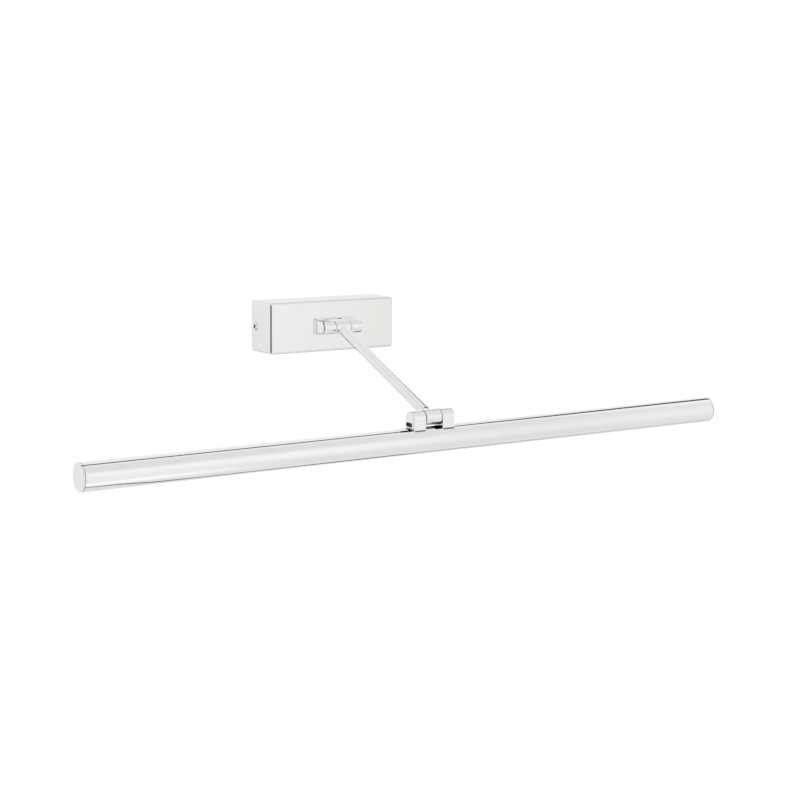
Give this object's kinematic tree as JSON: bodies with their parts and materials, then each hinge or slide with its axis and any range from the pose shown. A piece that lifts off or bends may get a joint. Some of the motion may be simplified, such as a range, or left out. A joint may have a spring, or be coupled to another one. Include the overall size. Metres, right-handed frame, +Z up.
{
  "type": "picture light",
  "caption": "Wall-mounted picture light: a slim horizontal tube lamp with an opal slot, on a friction-jointed bar arm that turns on a slab-shaped wall box.",
  "frame": {"origin": "middle of the wall box on the wall face, where the mounting plate meets the wall", "axes": "+X along the lamp tube and both hinge axes, +Y into the wall, +Z up"},
  "size_m": [0.76, 0.2542, 0.1391],
  "materials": {
    "chrome": "polished chrome plate",
    "screw": "bright nickel, cross recess",
    "zinc_plate": "bright zinc plate",
    "pin_steel": "ground steel",
    "washer_polymer": "matte black polymer",
    "driver_case": "white moulded case",
    "board_white": "white solder mask",
    "terminal_nylon": "natural nylon",
    "brass": "plain brass",
    "grommet_rubber": "matte black rubber",
    "lead_sleeve": "black sleeve",
    "diffuser_opal": "satin opal",
    "carrier_aluminium": "mill finish extrusion"
  },
  "bodies": {
    "wall_box": {"box_cover": "chrome", "cable_grommet": "grommet_rubber", "cover_screw_left": "screw", "cover_screw_right": "screw", "driver_output_lead": "lead_sleeve", "driver_screw_left": "zinc_plate", "driver_screw_right": "zinc_plate", "driver_supply_lead": "lead_sleeve", "earth_screw": "brass", "led_driver": "driver_case", "mounting_plate": "zinc_plate", "terminal_block": "terminal_nylon", "terminal_screw_earth": "brass", "terminal_screw_live": "brass", "terminal_screw_neutral": "brass", "wall_ear_left": "chrome", "wall_ear_right": "chrome", "wall_ear_screw_left": "zinc_plate", "wall_ear_screw_right": "zinc_plate", "wall_friction_washer_left": "washer_polymer", "wall_friction_washer_right": "washer_polymer", "wall_hinge_base": "chrome", "wall_pivot_pin": "pin_steel"},
    "arm": {"arm_bar": "chrome", "arm_wall_barrel": "chrome", "arm_lamp_barrel": "chrome", "arm_lead": "lead_sleeve"},
    "lamp_head": {"lamp_tube": "chrome", "end_cap_left": "chrome", "end_cap_right": "chrome", "diffuser": "diffuser_opal", "led_carrier": "carrier_aluminium", "led_board": "board_white", "lamp_ear_left": "chrome", "lamp_ear_right": "chrome", "lamp_ear_screw_left": "zinc_plate", "lamp_ear_screw_right": "zinc_plate", "lamp_friction_washer_left": "washer_polymer", "lamp_friction_washer_right": "washer_polymer", "lamp_pivot_pin": "pin_steel", "tube_grommet": "grommet_rubber", "lamp_lead": "lead_sleeve"}
  },
  "joints": [
    {"name": "arm_tilt", "type": "hinge", "parent": "wall_box", "child": "arm", "pos_m": [0, -0.0614, 0], "axis": [-1, 0, 0], "range_deg": [-67, 112]},
    {"name": "lamp_tilt", "type": "hinge", "parent": "arm", "child": "lamp_head", "pos_m": [0, -0.2403, -0.0736], "axis": [1, 0, 0], "range_deg": [-120, 58]}
  ]
}
